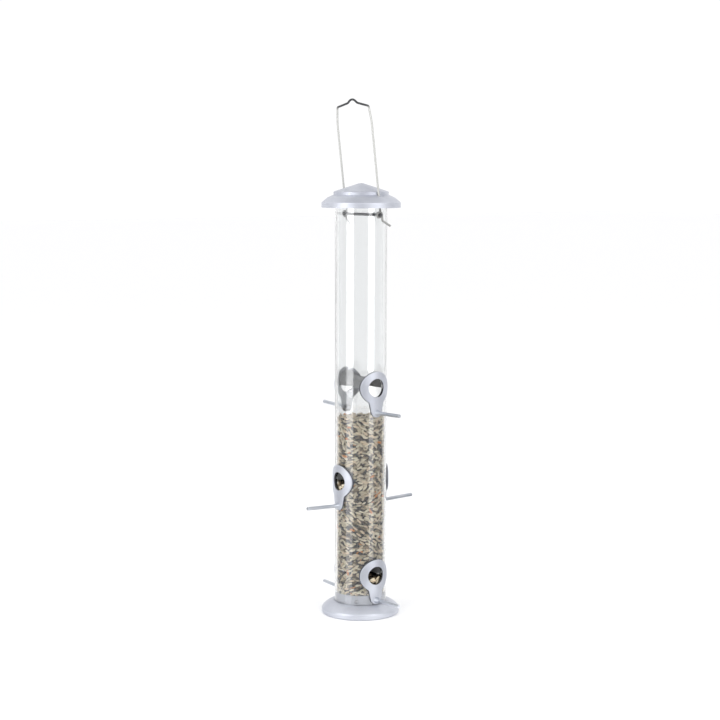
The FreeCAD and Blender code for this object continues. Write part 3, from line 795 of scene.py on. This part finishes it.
    def cloud(self, name: str, middle: np.ndarray, axes: np.ndarray, shape: np.ndarray,
              tone: np.ndarray, finish: bpy.types.Material) -> bpy.types.Object:
        """Set copies of the husk at their places and press them inside the tube and the filling.

        Args:
            name: name of the piece.
            middle: middle of each seed.
            axes: axes of each seed.
            shape: length, width and thickness of each seed.
            tone: how pale each seed is.
            finish: material.

        Returns:
            The new object, not yet linked.
        """
        points, faces, share = self.husk()
        cloud = np.einsum("spk,skc->spc", points[None] * shape[:, None], axes) + middle[:, None]
        radial = np.hypot(cloud[..., 0], cloud[..., 1])
        limit = self.wall - self.wall_gap
        cloud[..., :2] *= np.minimum(1.0, limit / np.maximum(radial, self.least_reach))[..., None]
        cloud[..., 2] = np.clip(cloud[..., 2], self.low + self.end_gap, self.high - self.end_gap)
        offsets = np.arange(middle.shape[0]) * points.shape[0]
        quads = np.array(faces[:-2])[None] + offsets[:, None, None]
        ends = np.array(faces[-2:])[None] + offsets[:, None, None]
        mesh = bpy.data.meshes.new(name)
        mesh.from_pydata(cloud.reshape(-1, 3), [],
                         quads.reshape(-1, 4).tolist() + ends.reshape(-1, self.sides).tolist())
        for label, values in (("tone", np.repeat(tone, points.shape[0])),
                              ("around", np.tile(share, middle.shape[0]))):
            layer = mesh.attributes.new(label, "FLOAT", "POINT")
            layer.data.foreach_set("value", values.astype(np.float32))
        mesh.polygons.foreach_set("use_smooth", np.ones(len(mesh.polygons), dtype=bool))
        mesh.materials.append(finish)
        return bpy.data.objects.new(name, mesh)

    def core(self, finish: bpy.types.Material) -> bpy.types.Object:
        """The shaded depth behind the visible seeds: closed columns that stop at each hood's way.

        Each column is two rings joined by faces, with a flat end at each ring.

        Args:
            finish: its material.

        Returns:
            The new object, not yet linked.
        """
        sides, radius = self.core_sides, self.wall * self.core_share
        turn = np.arange(sides) * 2 * math.pi / sides
        ring = np.stack([radius * np.cos(turn), radius * np.sin(turn)], axis=1)
        stops = [self.low + self.core_low]
        for height, _ in sorted(self.ways):
            stops += [height - self.settled - self.core_under, height + self.hood + self.core_over]
        stops.append(self.high - self.mound - self.core_top)
        one = np.arange(sides)
        two = (one + 1) % sides
        points, faces = [], []
        for index, (low, high) in enumerate(zip(stops[::2], stops[1::2])):
            base = index * 2 * sides
            points += [np.c_[ring, np.full(sides, low)], np.c_[ring, np.full(sides, high)]]
            faces += (np.stack([one, two, two + sides, one + sides], axis=1) + base).tolist()
            faces += [(base + one[::-1]).tolist(), (base + sides + one).tolist()]
        mesh = bpy.data.meshes.new("seed_core")
        mesh.from_pydata(np.concatenate(points), [], faces)
        mesh.materials.append(finish)
        return bpy.data.objects.new("seed_core", mesh)


@dataclass(frozen=True)
class Softbox:
    """A tall softbox.

    Args:
        name: name of the light.
        bearing: degrees to the right of the line from the tube to the camera.
        distance: metres from the tube.
        width: width in metres.
        length: height of its face in metres.
        height: height of its middle.
        power: watts.
    """

    name: str
    bearing: float
    distance: float
    width: float
    length: float
    height: float
    power: float


@dataclass(frozen=True)
class CardBand:
    """Two cards that show only as reflections: one lies on the floor and one stands.

    Args:
        name: name that both cards begin with.
        start: bearing where they begin, in degrees.
        stop: bearing where they end.
        near: where the floor card begins, in metres from the tube's axis.
        far: how far off the standing card is.
        floor_level: how bright the floor card is next to the white room.
        level: how bright the standing card is.
    """

    name: str
    start: float
    stop: float
    near: float
    far: float
    floor_level: float
    level: float


@dataclass
class Studio:
    """Pale floor, soft lights and the camera.

    Args:
        azimuth: direction the camera looks from, in degrees, zero looking along +Y.
        distance: level distance from the tube's axis, in metres.
        height: height of the lens, in metres.
        pitch: how far it looks down, in degrees.
        lens: focal length on a 36 mm sensor.
        roll: turn about the line of sight, in radians.
        aside: how far the lens stands to its own right, in metres.
        sensor: width of the sensor in millimetres.
        aim: height that the softboxes face.
        boxes: the two softboxes, which make the long bright bands on the clear tube.
        bands: the cards round the tube: a dim camera side and sides, and two bright strips.
        floor_far: where the floor cards end, in metres from the tube's axis.
        card_height: height of the standing cards.
        card_lift: how far the floor cards lie above the floor.
        ceiling_half: half the width of the card overhead.
        ceiling_height: its height.
        ceiling_level: how bright it is next to the white room.
        floor_half: half the width of the floor.
        floor_drop: how far the floor lies under the rim.
        room: how bright the white room is.
    """

    azimuth: float = 54.26
    distance: float = 1.9282
    height: float = 0.5139
    pitch: float = 6.46
    lens: float = 84.25
    roll: float = 0.0022
    aside: float = -0.00096
    sensor: float = 36.0
    aim: float = 0.28
    boxes: tuple = (Softbox("left_softbox", -50.0, 1.7, 1.05, 2.0, 0.75, 16.0),
                    Softbox("right_softbox", 47.0, 1.7, 0.80, 2.0, 0.75, 12.0))
    bands: tuple = (CardBand("camera_side", -34.0, 36.0, 0.17, 2.3, 0.10, 0.48),
                    CardBand("left_strip", -62.0, -35.0, 0.06, 1.5, 2.0, 2.8),
                    CardBand("right_strip", 37.0, 57.0, 0.06, 1.5, 1.9, 2.6),
                    CardBand("left_side", -112.0, -63.0, 0.17, 2.3, 0.15, 0.45),
                    CardBand("right_side", 58.0, 112.0, 0.17, 2.3, 0.15, 0.45))
    floor_far: float = 2.3
    card_height: float = 2.2
    card_lift: float = 0.001
    ceiling_half: float = 1.3
    ceiling_height: float = 2.4
    ceiling_level: float = 0.36
    floor_half: float = 14.0
    floor_drop: float = 0.0002
    room: float = 1.04

    def axes(self) -> tuple[Vector, Vector]:
        """The level directions to the camera's right and forward.

        Returns:
            Right and forward unit vectors.
        """
        turn = math.radians(self.azimuth)
        right = Vector((math.cos(turn), math.sin(turn), 0.0))
        return right, Vector((-right.y, right.x, 0.0))

    def camera(self) -> None:
        """Set the camera."""
        right, forward = self.axes()
        down = math.radians(self.pitch)
        sight = forward * math.cos(down) - Vector((0, 0, 1)) * math.sin(down)
        lift = right.cross(sight)
        turned = Matrix((right, lift, -sight)).transposed() @ Matrix.Rotation(self.roll, 3, "Z")
        data = bpy.data.cameras.new("view")
        data.lens, data.sensor_width = self.lens, self.sensor
        camera = bpy.data.objects.new("view", data)
        spot = right * self.aside - forward * self.distance + Vector((0, 0, self.height))
        camera.matrix_world = Matrix.Translation(spot) @ turned.to_4x4()
        bpy.context.scene.collection.objects.link(camera)
        bpy.context.scene.camera = camera

    def softbox(self, box: Softbox) -> None:
        """Hang a tall softbox that faces the tube.

        Args:
            box: its sizes and place.
        """
        spot = self.around(box.bearing, box.distance, box.height)
        data = bpy.data.lights.new(box.name, "AREA")
        data.shape, data.size, data.size_y, data.energy = "RECTANGLE", box.width, box.length, box.power
        lamp = bpy.data.objects.new(box.name, data)
        facing = Vector((0, 0, self.aim)) - spot
        turned = facing.to_track_quat("-Z", "Y").to_matrix().to_4x4()
        lamp.matrix_world = Matrix.Translation(spot) @ turned
        bpy.context.scene.collection.objects.link(lamp)

    def glow(self, name: str, strength: float) -> bpy.types.Material:
        """A surface that only gives light.

        Args:
            name: name of the material.
            strength: how bright it is next to the white room.

        Returns:
            The material.
        """
        shader = Shader(name)
        shader.feed(shader.surface, "Base Color", linear("#000000"))
        shader.feed(shader.surface, "Specular IOR Level", 0.0)
        shader.feed(shader.surface, "Emission Color", linear("#f9f9fb"))
        shader.feed(shader.surface, "Emission Strength", strength)
        return shader.material

    def reflected(self, name: str, corners: np.ndarray, strength: float) -> None:
        """Add a four-cornered card that shows only as a reflection, as cards round glassware do.

        Args:
            name: name of the card.
            corners: its corners in order.
            strength: how bright it is next to the white room.
        """
        mesh = bpy.data.meshes.new(name)
        mesh.from_pydata(corners, [], [(0, 1, 2, 3)])
        mesh.materials.append(self.glow(name, strength))
        card = bpy.data.objects.new(name, mesh)
        card.visible_camera = card.visible_diffuse = card.visible_transmission = False
        card.visible_shadow = False
        bpy.context.scene.collection.objects.link(card)

    def around(self, bearing: float, distance: float, height: float) -> Vector:
        """A place given by its bearing from the line that runs from the tube to the camera.

        Args:
            bearing: degrees to the right of that line.
            distance: metres from the tube's axis.
            height: height in metres.

        Returns:
            The place.
        """
        right, forward = self.axes()
        turn = math.radians(bearing)
        return (right * math.sin(turn) - forward * math.cos(turn)) * distance + Vector((0, 0, height))

    def cards(self) -> None:
        """Stand and lay the reflection cards, and hang one overhead."""
        for band in self.bands:
            floor = [self.around(bearing, distance, self.card_lift) for bearing, distance in (
                (band.start, band.near), (band.stop, band.near),
                (band.stop, self.floor_far), (band.start, self.floor_far))]
            self.reflected(f"{band.name}_floor_card", np.array(floor), band.floor_level)
            wall = [self.around(bearing, band.far, height) for bearing, height in (
                (band.start, 0.0), (band.stop, 0.0),
                (band.stop, self.card_height), (band.start, self.card_height))]
            self.reflected(f"{band.name}_card", np.array(wall), band.level)
        self.reflected("ceiling_card", self.square(self.ceiling_half, self.ceiling_height),
                       self.ceiling_level)

    def square(self, half: float, height: float) -> np.ndarray:
        """Corners of a level square round the tube's axis.

        Args:
            half: half its width.
            height: its height.

        Returns:
            Its four corners in order.
        """
        return np.array([(-half, -half, height), (half, -half, height),
                         (half, half, height), (-half, half, height)])

    def surroundings(self) -> None:
        """Lay the floor and light the room."""
        mesh = bpy.data.meshes.new("floor")
        mesh.from_pydata(self.square(self.floor_half, -self.floor_drop), [], [(0, 1, 2, 3)])
        mesh.materials.append(plain_material("pale_studio_floor", "#fbfbfb", roughness=0.9))
        floor = bpy.data.objects.new("floor", mesh)
        bpy.context.scene.collection.objects.link(floor)
        world = bpy.data.worlds.new("room")
        world.use_nodes = True
        back = world.node_tree.nodes["Background"]
        back.inputs["Color"].default_value = linear("#fefeff")
        back.inputs["Strength"].default_value = self.room
        bpy.context.scene.world = world

    def build(self) -> None:
        """Set up the whole studio."""
        self.surroundings()
        for box in self.boxes:
            self.softbox(box)
        self.cards()
        self.camera()
        bpy.context.scene.view_settings.view_transform = "Standard"


def main() -> None:
    """Build the feeder's looks and the studio."""
    logging.basicConfig(level=logging.INFO)
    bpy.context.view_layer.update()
    nodes = frame["nodes"]
    MetalAndPlastic(nodes).dress()
    seed_low, seed_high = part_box("seed_fill")
    hood_ways = []
    for name, along_y in (("seed_hood_lower", False), ("seed_hood_middle", True)):
        port_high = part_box(name.replace("seed_hood", "port") + "_a")[1]
        hood_ways.append((port_high[2] - PORT_TOP, along_y))
    filling = SeedFilling(seed_low[2], seed_high[2], seed_high[0], hood_ways, HOOD_RADIUS)
    depth = plain_material("shaded_seed_depth", "#1c1814", roughness=0.9)
    for piece in filling.build(SeedHusk().material(), depth):
        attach(piece, "feeder")
        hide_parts("seed_fill")
        logger.info("%s has %d faces", piece.name, len(piece.data.polygons))
    Studio().build()


if __name__ == "__main__":
    main()
